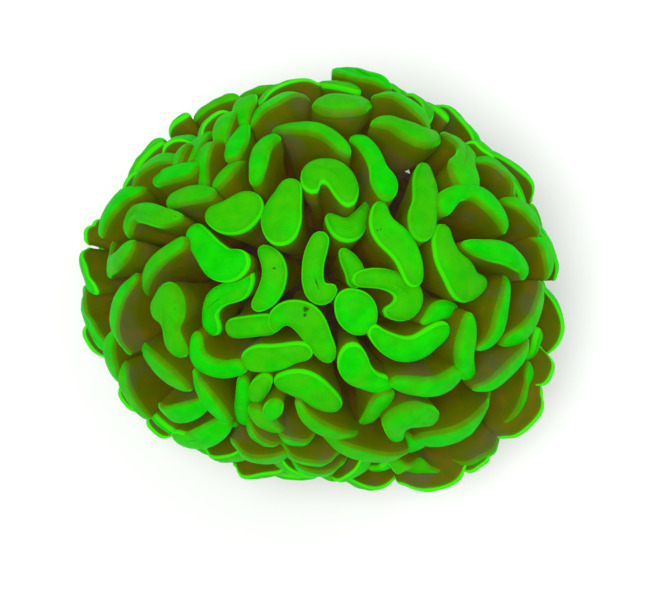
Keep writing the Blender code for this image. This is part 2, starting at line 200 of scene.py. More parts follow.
    "T80": ([(234.5, 441.5, 2.6), (239, 449.5, 3.8), (248, 456, 4), (259, 459, 4.2), (270, 458.5, 4.8), (280, 455, 4.8), (288, 451.5, 2.6)], 0.5),
    "T81": ([(249.5, 427, 1.8), (254, 434.5, 2.6), (262, 440.5, 2.8), (271, 443.5, 2.8), (280, 443.5, 1.8)], 0),
    "T82": ([(279, 437, 2), (287, 439, 3.8), (297, 441.5, 3.8), (305.5, 442.5, 3.2), (310.5, 441, 2)], -0.5),
    "T83": ([(284, 447, 1.8), (289, 454.5, 2.4), (299, 459.5, 2.6), (312, 462, 2.5), (324, 462, 2.6), (333, 458.5, 2.2), (337.5, 454.5, 1.2)], 0),
    "T84": ([(294, 461, 1.5), (301, 468.5, 2.6), (311, 472, 3), (322, 473, 3.3), (333, 470.5, 3.5), (341, 464, 2.4)], 0),
    "S84": ([(282, 464, 1.2), (292, 470, 1.4), (303, 474.5, 1.4), (316, 477, 1.4)], -1),
    "S85": ([(222, 462, 1.4), (232, 469, 1.8), (243, 474, 2.4), (255, 474.5, 3.6), (266, 472, 4.6), (276, 469, 4)], 0),
    "S86": ([(329, 479, 1.5), (337, 479.5, 2.2), (345, 477, 2.8), (351, 472, 2.5), (354.5, 466, 1.4)], 0),
    "S87": ([(353, 477, 3), (359, 484, 4.5), (369, 487.5, 5), (380, 486.5, 5.2), (391, 481.5, 5), (401, 475, 5), (409, 469, 3.8)], 0),
    "T88": ([(332.5, 438.5, 1.8), (342, 445, 3.4), (354, 450.5, 4.6), (367, 455, 5), (380, 457, 4.8), (392, 456.5, 4.6), (402, 454, 4), (408, 451.5, 2.2)], 0),
    "T89": ([(298.5, 402, 2.4), (303, 411.5, 4.4), (311, 420, 5.2), (321.5, 427, 5.6), (333.5, 432, 5.6), (346, 434, 5.2), (357, 434, 4.2), (365.5, 431, 2.2)], 0.5),
    "T90": ([(405.5, 461, 2), (412, 467, 3.4), (422, 471, 3.2), (432, 474.5, 2.6), (442, 475.5, 2.2), (450, 473.5, 2), (455.5, 469, 1.3)], 0),
    "T91": ([(445, 455, 1.4), (452, 461.5, 2.2), (462, 463.5, 2.6), (473, 461.5, 3.2), (483, 457, 3.6), (492, 451.5, 3.4), (499, 446, 2)], 0),
    "S92": ([(405, 485, 1.5), (415, 488, 1.8), (427, 489, 2), (439, 487.3, 2.2), (450, 483.5, 2.3), (459, 478, 2.8), (465, 471, 2)], -1),
    "S92b": ([(468, 473, 1.2), (477, 467, 1.3), (485, 461, 1.3), (490, 457, 1.1)], -1),
    "T93": ([(410, 443, 3), (415, 446, 3.5), (420, 446, 2.5)], -3),
    "T94": ([(131, 230, 7), (131.5, 220, 9.5), (138, 213.5, 10), (146.5, 213, 10.8), (155.5, 215.5, 11), (165, 218.5, 10), (174, 218.5, 7), (182, 218, 3.5)], 0.5),
    "T95": ([(103.5, 267, 11), (113, 264.5, 10.5), (121, 258.5, 8.5), (127.5, 251.5, 7), (133, 245.5, 4)], 0),
    "T96": ([(135, 196, 4.5), (127, 197.5, 5.5), (118.5, 203, 6), (111.5, 211, 6.2), (107, 220, 6), (104.5, 229, 5.5), (104, 237, 4)], 0),
    "T97": ([(156.5, 177, 7.5), (163, 177.5, 10.5), (171, 175.5, 8.8), (180, 173, 8.5), (189, 171.5, 8)], 0),
    "T98": ([(173, 201.5, 7.5), (181.5, 198, 9), (191, 195.5, 9.3), (201, 194.5, 8.8), (209.5, 195, 7)], 1),
    "T99": ([(245.5, 157, 4), (239, 163, 5.5), (232.5, 169.5, 6), (226, 176.5, 5.8), (220, 183.5, 5), (216, 188.5, 3)], 0),
    "T100": ([(275, 139.5, 5), (267.5, 144, 6.5), (261.5, 151.5, 8), (259, 161, 8.5), (257.5, 171, 7.3), (256, 180, 6)], 1),
    "T101": ([(272, 131.5, 3.5), (280, 130, 5.5), (290, 129.3, 6.5), (300, 129.2, 6.8), (310, 129.7, 6.8), (320, 132, 6.8), (329, 136.5, 7), (337, 143, 7.2), (343, 150, 7), (346, 154.5, 4)], 0),
    "S102": ([(86.5, 237, 1.5), (87, 231.5, 2.5), (90, 227.5, 2.8), (94.5, 226, 1.8)], -1),
    "S103": ([(88.5, 240.5, 1.5), (84.5, 246.5, 2.5), (82, 254, 3), (83, 262.5, 3.5), (86.5, 270.5, 4), (89.5, 275, 3)], 0),
}

SPINE = 15  # samples along a spine
ARC = 24  # points along each side of a tip
AROUND = 2 * ARC


def through(points, count):
    """count samples of a smooth curve through the points, evenly spaced along it."""
    p = np.asarray(points, float)
    ends = np.vstack([2 * p[0] - p[1], p, 2 * p[-1] - p[-2]])
    fine = []
    for i in range(len(p) - 1):
        a, b, c, d = ends[i : i + 4]
        for t in np.linspace(0, 1, 12, endpoint=False):
            fine.append(0.5 * (2 * b + (c - a) * t + (2 * a - 5 * b + 4 * c - d) * t * t + (3 * b - a - 3 * c + d) * t**3))
    fine = np.array(fine + [p[-1]])
    steps = np.linalg.norm(np.diff(fine[:, :2], axis=0), axis=1)
    along = np.concatenate([[0], np.cumsum(steps)])
    want = np.linspace(0, along[-1], count)
    return np.column_stack([np.interp(want, along, fine[:, k]) for k in range(fine.shape[1])])


class Tip:
    """A hammer tip: a spine in its own plane, its widths, and the frame that places it."""

    def __init__(self, name, centre, normal, along, spine, half, bend_u, bend_v, out):
        self.name = name
        self.centre, self.normal = centre, unit(normal)
        self.e1 = unit(along - (along @ self.normal) * self.normal)
        self.e2 = np.cross(self.normal, self.e1)
        self.spine, self.half = spine, half
        self.bend_u, self.bend_v = bend_u, bend_v
        self.profile, self.curl, self.span = None, 0.0, 1.0
        self.out = out  # direction away from the dome's middle, in the tip's plane
        self.outward = np.array([out @ self.e1, out @ self.e2])

    def lift(self, uv, fade=1.0):
        z = -0.5 * (self.bend_u * uv[..., 0] ** 2 + self.bend_v * uv[..., 1] ** 2)
        if self.profile is not None:
            z = z + np.interp(uv[..., 0], *self.profile)
        if self.curl:
            z = z - self.curl * np.minimum(np.abs(uv[..., 0]) / self.span, 1.35) ** 5
        return z * fade

    def place(self, uv, height):
        z = height + self.lift(uv)
        return self.centre + uv[..., :1] * self.e1 + uv[..., 1:2] * self.e2 + np.asarray(z)[..., None] * self.normal

    def line(self):
        return self.place(self.spine, np.zeros(len(self.spine)))


def edge_size(angle):
    """How thick the rounded edge of a tip is; tips that turn away are thinner."""
    return 1.9 - 1.15 * float(smooth(48, 82, angle))


def rim_tip(name, points, lift):
    """A tip seen nearly edge-on: it follows the traced line exactly and shows little of its face."""
    image = through(points, 25)
    world = np.array([on_dome(x, y, lift) for x, y, _ in image])
    centre = world[12]
    view = unit(EYE - centre)
    dome = dome_normal(centre)
    radial = unit(dome - (dome @ view) * view)
    width = float(np.median(image[4:-4, 2])) * ((centre - EYE) @ AHEAD) / FOCAL
    size = 3.5
    angle = 97.0 if name[0] == "S" else math.degrees(math.acos(np.clip((width - 0.4) / size, 0.03, 0.6)))
    a = math.radians(angle)
    normal = math.cos(a) * view + math.sin(a) * radial
    chord = world[-1] - world[0]
    along = unit(chord - (chord @ normal) * normal)
    across_ = np.cross(normal, along)
    q = world - centre
    u, v, z = q @ along, q @ across_, q @ normal
    spread = np.linspace(u.min(), u.max(), 25)
    share = np.linspace(-1, 1, SPINE)
    keep = through(np.column_stack([u, v, image[:, 2]]), SPINE)
    spine = keep[:, :2].copy()
    side = 1.0 if across_ @ view > 0 else -1.0
    if name[0] == "S":
        spine[:, 1] = side * (-2.6 + 1.6 * share**2)
    else:
        spine[:, 1] = 3.0 * np.tanh(spine[:, 1] / 6.0)
    half = size * (1 - 0.3 * share**2) * np.sqrt(np.clip(keep[:, 2] / max(np.median(keep[4:-4, 2]), 0.5), 0.4, 1.5))
    tip = Tip(name, centre, normal, along, spine, half, 0.0, 1 / 30.0, radial)
    tip.profile = (spread, np.polyval(np.polyfit(u, z, 4), spread))
    tip.curl = 1.1
    tip.span = max(abs(u).max(), 4.0)
    tip.angle, tip.edge = angle, 0.75 if name[0] == "S" else edge_size(angle)
    return tip


def traced_tip(name, points, lift):
    if name[0] == "S":
        return rim_tip(name, points, lift)
    image = through(points, 25)
    middle = image[12]
    centre = on_dome(middle[0], middle[1], lift)
    view = unit(EYE - centre)
    dome = dome_normal(centre)
    radial = dome - (dome @ view) * view
    radial = unit(radial) if np.linalg.norm(radial) > 1e-6 else RIGHT
    tilt = math.degrees(math.acos(np.clip(dome @ view, -1, 1)))
    if tilt > 58 and np.median(image[4:-4, 2]) < 6.2 or tilt > 46 and np.median(image[4:-4, 2]) < 4.3:
        return rim_tip(name, points, lift)
    per_px = (centre - EYE) @ AHEAD / FOCAL
    widths = image[:, 2] * per_px
    best = None
    usual = 15 * smooth(6, 38, tilt) - 7 * smooth(60, 80, tilt)
    for lean in np.arange(usual - 8, usual + 12.1, 1.0):
        angle = min(max(tilt + lean, 0.0), 86.0)
        a = math.radians(min(angle, 77.0))
        normal = math.cos(a) * view + math.sin(a) * radial
        chord = image[-1, :2] - image[0, :2]
        flat = chord[0] * RIGHT - chord[1] * UP
        # the chord's direction in the tip's own plane
        along = flat - (flat @ normal) / (view @ normal) * view
        along = unit(along)
        across_ = np.cross(normal, along)
        aside = abs(along @ unit(np.cross(radial, view)))
        steep = float(smooth(35, 75, angle))
        bend_u = (1 / 42.0) * (1 - steep) + (aside**2 / 13.0 + (1 - aside**2) / 42.0) * steep
        bend_v = 1 / 26.0
        uv = []
        for x, y, _ in image:
            d = ray(x, y)
            drop = 0.0
            for _ in range(14):
                t = (drop - normal @ (EYE - centre)) / (normal @ d)
                q = EYE + t * d - centre
                u, v = q @ along, q @ across_
                drop = max(0.6 * drop - 0.2 * (bend_u * u * u + bend_v * v * v), -7.0)
            uv.append((min(max(u, -17.0), 17.0), min(max(v, -17.0), 17.0)))
        uv = np.array(uv)
        tangent = np.gradient(uv, axis=0)
        tangent /= np.linalg.norm(tangent, axis=1)[:, None] + 1e-9
        side = np.column_stack([-tangent[:, 1], tangent[:, 0]])

        def seen(vec):
            q = vec[:, :1] * along + vec[:, 1:] * across_
            return np.column_stack([q @ RIGHT, q @ UP])

        st, sd = seen(tangent), seen(side)
        f = np.abs(st[:, 0] * sd[:, 1] - st[:, 1] * sd[:, 0]) / (np.linalg.norm(st, axis=1) + 1e-9)
        f = np.clip(f, 0.17, 1)
        g2 = np.clip(1 - f * f, 0, 1)
        rim = 0.45 * edge_size(angle) + 0.1
        true = np.sqrt(np.maximum(widths**2 - rim**2 * g2, 0.0)) / f
        middle_width = np.median(true[5:-5])
        length = np.linalg.norm(np.diff(uv, axis=0), axis=1).sum()
        miss = abs(np.clip(middle_width, 2.9, 4.9) - middle_width) * 2.0 + 0.02 * abs(lean - usual)
        miss += 0.25 * max(0.0, length - 28)
        if best is None or miss < best[0]:
            best = (miss, angle, normal, along, uv, true, bend_u, bend_v)
    _, angle, normal, along, uv, true, bend_u, bend_v = best
    steep = float(smooth(70, 80, angle))
    if angle > 77:
        a = math.radians(angle)
        normal = math.cos(a) * view + math.sin(a) * radial
    if steep > 0:
        uv[:, 1] = uv[:, 1] * (1 - 0.55 * steep)
    length = np.linalg.norm(np.diff(uv, axis=0), axis=1).sum()
    if length > 28:
        uv *= 28 / length
    spine = through(np.column_stack([uv, np.clip(true, 1.0, 6.2)]), SPINE)
    half = spine[:, 2]
    peak = half.max()
    if peak < 2.6:
        half = half * (2.6 / peak)
    tip = Tip(name, centre, normal, along, spine[:, :2], half, bend_u, bend_v, radial)
    tip.angle, tip.edge = angle, edge_size(angle)
    return tip


tips = [traced_tip(name, points, lift) for name, (points, lift) in TIPS.items()]


# Tips on the flanks and round the drooping rim, which no view from above shows
def free_tip(name, tilt, azimuth, rng):
    d = direction(tilt, azimuth)
    centre = DOME_CENTRE + d * (SEMI - 4.6 + rng.uniform(-1.2, 0.6))
    dome = dome_normal(centre)
    down = unit(np.array([0, 0, -1.0]) - (np.array([0, 0, -1.0]) @ dome) * dome)
    lean = math.radians(rng.uniform(2, 16))
    normal = unit(math.cos(lean) * dome + math.sin(lean) * down)
    level = unit(np.cross(normal, down))
    turn = math.radians(rng.normal(0, 30))
    along = math.cos(turn) * level + math.sin(turn) * np.cross(normal, level)
    length = rng.uniform(9.5, 15.0)
    arch = rng.uniform(-0.2, 1.0) * 3.0
    u = np.linspace(-0.5, 0.5, SPINE)
    # the ends of the hammer curl back up towards the dome's middle
    sign = 1.0 if np.cross(normal, along) @ down > 0 else -1.0
    spine = np.column_stack([u * length, sign * arch * (0.5 - (2 * u) ** 2)])
    lop = rng.uniform(-0.35, 0.35)
    half = rng.uniform(3.0, 4.2) * (1 - 0.3 * (2 * u) ** 2 + lop * u)
    tip = Tip(name, centre, normal, along, spine, half, 1 / rng.uniform(15, 28), 1 / 26.0, down)
    tip.angle, tip.edge = rng.uniform(15, 55), rng.uniform(1.3, 1.8)
    return tip


def clear_of(tip, others, share):
    line = tip.line()[::2]
    r = tip.half[::2]
    for other in others:
        if np.linalg.norm(other.centre - tip.centre) > 32:
            continue
        b, s = other.line()[::2], other.half[::2]
        apart = np.linalg.norm(line[:, None] - b[None], axis=2) - share * (r[:, None] + s[None])
        if apart.min() < 0:
            return False
    return True


made = 0
for attempt in range(7500):
    tilt = RNG.uniform(58, 116)
    azimuth = RNG.uniform(0, 360)
    tip = free_tip("F%d" % made, tilt, azimuth, RNG)
    if dome_normal(tip.centre) @ unit(EYE - tip.centre) > 0.11:
        continue
    if clear_of(tip, tips, 0.97 if attempt < 4500 else 0.84):
        tips.append(tip)
        made += 1
print("tips", len(tips), "free", made)


# ---------------------------------------------------------------- polyps and their cups
class Polyp:
    def __init__(self, where, facet, facet_axis, facet_radius, heading, axis, reach, mouth_radius):
        self.where = where
        self.facet, self.facet_axis, self.facet_radius = facet, facet_axis, facet_radius
        self.heading, self.axis = heading, axis
        self.mouth = DOME_CENTRE + heading * reach
        self.mouth_radius = mouth_radius
        self.tips = []
        self.world_mouth = self.mouth * SHAPE
        self.world_axis = unit(axis / SHAPE)


polyps = [
    Polyp("top", DOME_CENTRE + [0, 0, UPPER_REACH], direction(0, 0), UPPER_FACET, direction(2.0, 250.0), direction(0, 0), TOP_MOUTH_REACH, TOP_MOUTH)
]
for side, azimuth in SIDE_AZIMUTH.items():
    axis = direction(UPPER_TILT, azimuth)
    polyps.append(
        Polyp(side + "_upper", DOME_CENTRE + axis * UPPER_REACH, axis, UPPER_FACET, axis, direction(UPPER_MOUTH_TILT, azimuth), UPPER_MOUTH_REACH, UPPER_MOUTH)
    )
for side, azimuth in SIDE_AZIMUTH.items():
    foot = direction(90, azimuth) * SIDE_RADIUS + [0, 0, SIDE_Z]
    fork = foot + direction(SIDE_TILT, azimuth) * SIDE_REACH
    for number, spread in ((1, -LOWER_SPREAD), (2, LOWER_SPREAD)):
        axis = unit(direction(90, azimuth) * 0.34 + direction(90, azimuth + 90) * math.copysign(0.6, spread) + np.array([0, 0, 0.72]))
        polyps.append(
            Polyp(
                "%s_lower_%d" % (side, number), fork + axis * LOWER_REACH, axis, LOWER_FACET,
                direction(LOWER_TILT, azimuth + spread), direction(LOWER_MOUTH_TILT, azimuth + spread), LOWER_MOUTH_REACH, LOWER_MOUTH,
            )
        )

for tip in tips:
    d = unit((tip.centre - DOME_CENTRE) / SHAPE)
    best = max(polyps, key=lambda p: d @ p.heading)
    best.tips.append(tip)


class Mesh:
    """Points, faces and per-point values gathered for one object."""

    def __init__(self):
        self.points, self.faces, self.values, self.count = [], [], {}, 0

    def add(self, points, faces, **values):
        points = np.asarray(points, float)
        for key in set(self.values) | set(values):
            if key not in self.values:
                self.values[key] = [np.zeros(self.count)]
            self.values[key].append(np.broadcast_to(np.asarray(values.get(key, 0.0), float), (len(points),)).copy())
        self.points.append(points)
        self.faces.extend([tuple(int(i) + self.count for i in face) for face in faces])
        self.count += len(points)

    def build(self, name):
        mesh = bpy.data.meshes.new(name)
        mesh.from_pydata([tuple(p) for p in np.vstack(self.points) * MM], [], self.faces)
        mesh.update()
        for key, parts in self.values.items():
            attribute = mesh.attributes.new(key, "FLOAT", "POINT")
            attribute.data.foreach_set("value", np.concatenate(parts).astype(np.float32))
        mesh.shade_smooth()
        obj = bpy.data.objects.new(name, mesh)
        bpy.context.scene.collection.objects.link(obj)
        return obj


def strip(rings, around, close_low=True):
    """Quads between consecutive rings of points, listed top ring first."""
    faces = []
    for r in range(rings - 1):
        for i in range(around):
            j = (i + 1) % around
            faces.append((r * around + i, (r + 1) * around + i, (r + 1) * around + j, r * around + j))
    return faces


CASES = {
    1: [(3, 0)], 2: [(0, 1)], 3: [(3, 1)], 4: [(1, 2)], 5: [(3, 0), (1, 2)], 6: [(0, 2)], 7: [(3, 2)],
    8: [(2, 3)], 9: [(2, 0)], 10: [(0, 1), (2, 3)], 11: [(2, 1)], 12: [(1, 3)], 13: [(1, 0)], 14: [(0, 3)],
}


def level_line(field, xs, ys):
    """The longest closed line where a field on a grid crosses zero, counter-clockwise."""
    inside = field < 0
    code = inside[:-1, :-1] + 2 * inside[1:, :-1] + 4 * inside[1:, 1:] + 8 * inside[:-1, 1:]
    joined, where = {}, {}
    for i, j in zip(*np.nonzero((code > 0) & (code < 15))):
        corners = ((i, j), (i + 1, j), (i + 1, j + 1), (i, j + 1))
        names = ((0, i, j), (1, i + 1, j), (0, i, j + 1), (1, i, j))
        for a, b in CASES[int(code[i, j])]:
            for side in (a, b):
                if names[side] not in where:
                    p, q = corners[side], corners[(side + 1) % 4]
                    f, g = field[p], field[q]
                    s = f / (f - g)
                    where[names[side]] = (xs[p[0]] + s * (xs[q[0]] - xs[p[0]]), ys[p[1]] + s * (ys[q[1]] - ys[p[1]]))
            joined.setdefault(names[a], []).append(names[b])
            joined.setdefault(names[b], []).append(names[a])
    best, left = [], set(joined)
    while left:
        here = next(iter(sorted(left)[:1]))
        loop, before = [], None
        while here in left:
            left.discard(here)
            loop.append(where[here])
            after = [n for n in joined[here] if n != before and n in left]
            before = here
            if not after:
                break
            here = after[0]
        if len(loop) > len(best):
            best = loop
    line = np.array(best)
    area = 0.5 * np.sum(line[:, 0] * np.roll(line[:, 1], -1) - np.roll(line[:, 0], -1) * line[:, 1])
    return line if area > 0 else line[::-1]


def wedge_reach(p, around_dirs, limit):
    """How far, in degrees from the polyp's heading, its share of the dome goes in each direction."""
    reach = np.full(len(around_dirs), float(limit))
    for other in polyps:
        if other is p:
            continue
        split = other.heading - p.heading
        for i, w in enumerate(around_dirs):
            rise = w @ split
            if rise > 1e-6:
                reach[i] = min(reach[i], math.degrees(math.atan2(-(p.heading @ split), rise)))
    return reach


def pit_shade_points(pieces):
    """Centres and sizes, in metres, of the small pits and creases on the tips, which the flesh colour paints dark as
    painted shade.
    """
    at = np.vstack([np.vstack(m.points) for m in pieces])
    tip = np.concatenate([np.concatenate(m.values["tipness"]) for m in pieces])
    x, y, depth = to_frame_all(at)
    found = []
    for mx, my, size in PIT_SHADE_SPOTS:
        near = (np.hypot(x - mx, y - my) < 7) & (tip > 0.9)
        if near.any():
            t = depth[near].min()
            d = AHEAD + RIGHT * ((mx - 332.0) / FOCAL) + UP * ((306.0 - my) / FOCAL)
            found.append((EYE + d * t, size * t / FOCAL))
    return found


def to_frame_all(p):
    q = p - EYE
    depth = q @ AHEAD
    return 332.0 + FOCAL * (q @ RIGHT) / depth, 306.0 - FOCAL * (q @ UP) / depth, depth


# (x, y, size) in the 664 x 612 frame of the small pits and creases on the tips, which the flesh material paints dark:
# painted shade
PIT_SHADE_SPOTS = (
    (378, 170, 2.4), (378, 173, 1.8), (323, 168, 1.3), (328, 166, 1.3), (377, 230, 1.3), (381, 228.5, 1.5), (385, 229, 1.3),
    (389, 232, 1.4), (399, 237, 1.3), (407, 252, 1.3), (274, 268, 1.5), (450, 260, 1.1), (469, 287, 1.1), (390, 281, 1.4),
    (392, 285, 1.4), (306, 309, 2.8), (305, 315, 1.7), (315, 310, 1.3), (354, 320, 1.3), (354, 325, 1.3), (350, 330, 1.3),
    (224, 366, 1.3), (175, 216, 1.2), (117, 264, 1.3), (169, 310, 1.3), (175, 309, 1.3), (358, 364, 1.3), (349, 368, 1.3),
)


def outline_parts(tip):
    """The tip's outline, where each of its points sits on the spine, and a field of the depth inside it."""
    fine = through(np.column_stack([tip.spine, tip.half]), 48)
    s, r = fine[:, :2], np.maximum(fine[:, 2], 0.6)
    step, pad = 0.3, r.max() + 1.8
    lo, hi = s.min(0) - pad, s.max(0) + pad
    xs, ys = np.arange(lo[0], hi[0] + step, step), np.arange(lo[1], hi[1] + step, step)
    gx, gy = np.meshgrid(xs, ys, indexing="ij")
    field = (np.hypot(gx[..., None] - s[:, 0], gy[..., None] - s[:, 1]) - r).min(-1)
    soft = np.array([0.06, 0.24, 0.4, 0.24, 0.06])
    for _ in range(5):
        field = sum(w * np.roll(field, k - 2, 0) for k, w in enumerate(soft))
        field = sum(w * np.roll(field, k - 2, 1) for k, w in enumerate(soft))
    line = level_line(field, xs, ys)

    def end(at, way):
        q = line - at
        facing = (q @ way) / (np.linalg.norm(q, axis=1) + 1e-9)
        return int(np.argmax(facing - 0.002 * np.linalg.norm(q, axis=1)))

    first, last = end(s[0], unit(s[0] - s[3])), end(s[-1], unit(s[-1] - s[-4]))
    points, share = [], []
    for a, b, forward in ((first, last, True), (last, first, False)):
        run = line[a : b + 1] if a <= b else np.vstack([line[a:], line[: b + 1]])
        along = np.concatenate([[0], np.cumsum(np.linalg.norm(np.diff(run, axis=0), axis=1))])
        want = np.linspace(0, along[-1], ARC + 1)
        half = np.column_stack([np.interp(want, along, run[:, 0]), np.interp(want, along, run[:, 1])])
        near = (np.linalg.norm(half[:, None] - s[None], axis=2) - r).argmin(1).astype(float)
        near = np.maximum.accumulate(near) if forward else np.minimum.accumulate(near)
        for _ in range(2):
            near[1:-1] = (near[:-2] + near[1:-1] + near[2:]) / 3
        points.append(half[:-1]), share.append(near[:-1])
    points, share = np.vstack(points), np.concatenate(share)
    index = np.arange(len(s))
    base = np.column_stack([np.interp(share, index, s[:, 0]), np.interp(share, index, s[:, 1])])

    def depth(uv):
        x = np.clip((uv[:, 0] - xs[0]) / step, 0, len(xs) - 1.001)
        y = np.clip((uv[:, 1] - ys[0]) / step, 0, len(ys) - 1.001)
        i, j = x.astype(int), y.astype(int)
        fx, fy = x - i, y - j
        f = field[i, j] * (1 - fx) * (1 - fy) + field[i + 1, j] * fx * (1 - fy)
        return np.maximum(-(f + field[i, j + 1] * (1 - fx) * fy + field[i + 1, j + 1] * fx * fy), 0.0)

    return base, points - base, depth


CAP_K = np.array([0.26, 0.45, 0.61, 0.74, 0.83, 0.90, 0.95, 0.982, 1.0])


def tentacle(mesh, tip, polyp, rng):
    base, way, inside = outline_parts(tip)
    outward = tip.outward / max(np.linalg.norm(tip.outward), 1e-6)
    far = np.linalg.norm(way, axis=1)
    inner = smooth(-0.2, 0.75, -(way / far[:, None]) @ outward)
    steep = float(smooth(35, 66, tip.angle))
    rnd = rng.uniform()
    rings, tipness, edge, depth = [], [], [], []
    phase = rng.uniform(0, 7, 4)
    size_up = tip.edge
    for k in CAP_K:
        uv = base + way * k
        d = inside(uv) if k < 1 else np.zeros(AROUND)
        z = size_up * (1 - (1 - np.minimum(d / size_up, 1)) ** 2.1) ** (1 / 2.1) + 0.10 * d
        dent = 0.20 * np.sin(uv[:, 0] * 0.5 + phase[0]) * np.sin(uv[:, 1] * 0.55 + phase[1]) + 0.08 * np.sin(uv[:, 0] * 1.3 + uv[:, 1] + phase[2])
        z = z + dent * smooth(0, 2.5, d)
        rings.append(tip.place(uv, z))
        fade = steep * 0.55 * inner * float(smooth(0.45, 1.0, k))
        tipness.append(1 - fade)
        # edge is 1 on the cap's outline and on the first step down its side, less on the inner side of steep tips; the
        # material paints a bright line there, a painted highlight
        edge.append(1 - smooth(0.0, 0.75, d) if k < 1 else np.ones(AROUND))
        edge[-1] = edge[-1] * (1 - 0.85 * steep * inner)
        depth.append(np.zeros(AROUND))
    for drop, k_out, k_in, green in ((0.25, 0.99, 0.99, 0.88), (0.6, 0.96, 0.97, 0.50), (1.2, 0.92, 0.95, 0.32), (2.6, 0.89, 0.93, 0.22)):
        k = k_out + (k_in - k_out) * inner
        uv = base + way * k[:, None]
        rings.append(tip.place(uv, np.full(AROUND, -drop * (0.25 + 0.75 * size_up / 1.9))))
        tipness.append(green * (1 - steep * 0.55 * inner)), edge.append((1 - 0.85 * steep * inner) * float(smooth(0.9, 0.1, drop))), depth.append(np.full(AROUND, drop / 40))
    # stalk
    start = tip.centre - tip.normal * 2.6
    to_mouth = tip.centre - polyp.world_mouth
    flat = to_mouth - (to_mouth @ polyp.world_axis) * polyp.world_axis
    reach = np.linalg.norm(flat)
    foot_radius = 7.6 * min(1.0, reach / 21.0)
    foot = polyp.world_mouth + polyp.world_axis * 0.6 + (unit(flat) * foot_radius if reach > 1e-6 else 0)
    foot = foot + rng.normal(0, 0.4, 3)
    length = np.linalg.norm(start - foot)
    splay = unit(unit(flat) * 0.55 * min(1.0, reach / 20) + polyp.world_axis) if reach > 1e-6 else polyp.world_axis
    line = (start, start - tip.normal * 0.36 * length + rng.normal(0, 0.5, 3), foot + splay * 0.36 * length, foot)
    e1, e2, before = tip.e1.copy(), tip.e2.copy(), -tip.normal
    steps = 14
    k_ring = 0.89 + 0.04 * inner
    for i in range(1, steps + 1):
        t = (i / steps) ** 1.1
        s = 1 - t
        point = line[0] * s**3 + line[1] * 3 * s * s * t + line[2] * 3 * s * t * t + line[3] * t**3
        along = unit((line[1] - line[0]) * s * s + 2 * (line[2] - line[1]) * s * t + (line[3] - line[2]) * t * t + 1e-9)
        turn = np.cross(before, along)
        angle = math.atan2(np.linalg.norm(turn), before @ along)
        if angle > 1e-6:
            spin = np.array(Matrix.Rotation(angle, 3, Vector(unit(turn))))
            e1, e2 = spin @ e1, spin @ e2
        before = along
        g = float(smooth(0.45, 1.0, t))
        scale = 1 - 0.50 * t - 0.06 * float(smooth(0, 0.25, t)) + 0.10 * g
        # the stalk loses the hammer's length before it loses its width
        uv = base * (scale - 0.30 * float(smooth(0.08, 0.6, t)) * scale) + way * (k_ring * scale)[:, None]
        folds = 1 + 0.035 * np.sin(5 * np.arctan2(way[:, 1], way[:, 0]) + phase[3] + 2.0 * t) * float(smooth(0, 0.3, t))
        uv = uv * folds[:, None]
        fade = max(0.0, 1 - 1.6 * t)
        z = tip.lift(uv, fade)
        rings.append(point + uv[:, :1] * e1 + uv[:, 1:] * e2 - z[:, None] * along)
        green = 0.22 * float(smooth(0.16, 0.0, t))
        # depth runs from the tip down to the foot; the material paints the stalk darker with it, painted shade
        tipness.append(green * (1 - steep * 0.55 * inner)), edge.append(np.zeros(AROUND)), depth.append(np.full(AROUND, max(t, 0.065)))
    count = len(rings)
    faces = strip(count, AROUND)
    m = AROUND
    faces.append((0, 1, m - 1))
    for i in range(1, ARC - 1):
        faces.append((i, i + 1, m - i - 1, m - i))
    faces.append((ARC - 1, ARC, ARC + 1))
    low = (count - 1) * AROUND
    faces.append(tuple(low + i for i in range(AROUND))[::-1])
    mesh.add(
        np.vstack(rings), faces,
        tipness=np.concatenate(tipness), edge=np.concatenate(edge), depth=np.concatenate(depth),
        inner=np.tile(inner, count), rnd=np.full(count * AROUND, rnd),
    )


def basis(axis):
    first = np.cross([0.0, 0.0, 1.0], axis)
    if np.linalg.norm(first) < 1e-4:
        first = np.array([1.0, 0.0, 0.0])
    first = unit(first)
    return first, np.cross(axis, first)


def cup_line(p):
    start = p.facet + p.facet_axis * GAP
    bend = np.linalg.norm(p.mouth - start) / 3
    return (start, start + p.facet_axis * bend, p.mouth - p.axis * bend, p.mouth)


def cup_frames(p, values):
    """Centre, two cross directions and size of the cup at each share of its length."""
    line = cup_line(p)
    u, v = basis(p.facet_axis)
    before = p.facet_axis
    found = []
    for t in values:
        s = 1 - t
        point = line[0] * s**3 + line[1] * 3 * s * s * t + line[2] * 3 * s * t * t + line[3] * t**3
        along = unit((line[1] - line[0]) * s * s + 2 * (line[2] - line[1]) * s * t + (line[3] - line[2]) * t * t)
        turn = np.cross(before, along)
        angle = math.atan2(np.linalg.norm(turn), before @ along)
        if angle > 1e-6:
            spin = np.array(Matrix.Rotation(angle, 3, Vector(unit(turn))))
            u = spin @ u
        v = np.cross(along, u)
        before = along
        swell = t * t * (3 - 2 * t)
        size = p.facet_radius + (p.mouth_radius - 0.7 - p.facet_radius) * (0.35 * t + 0.65 * swell) + 0.7 * t**8
        found.append((point, u, v, size, along))
    return found


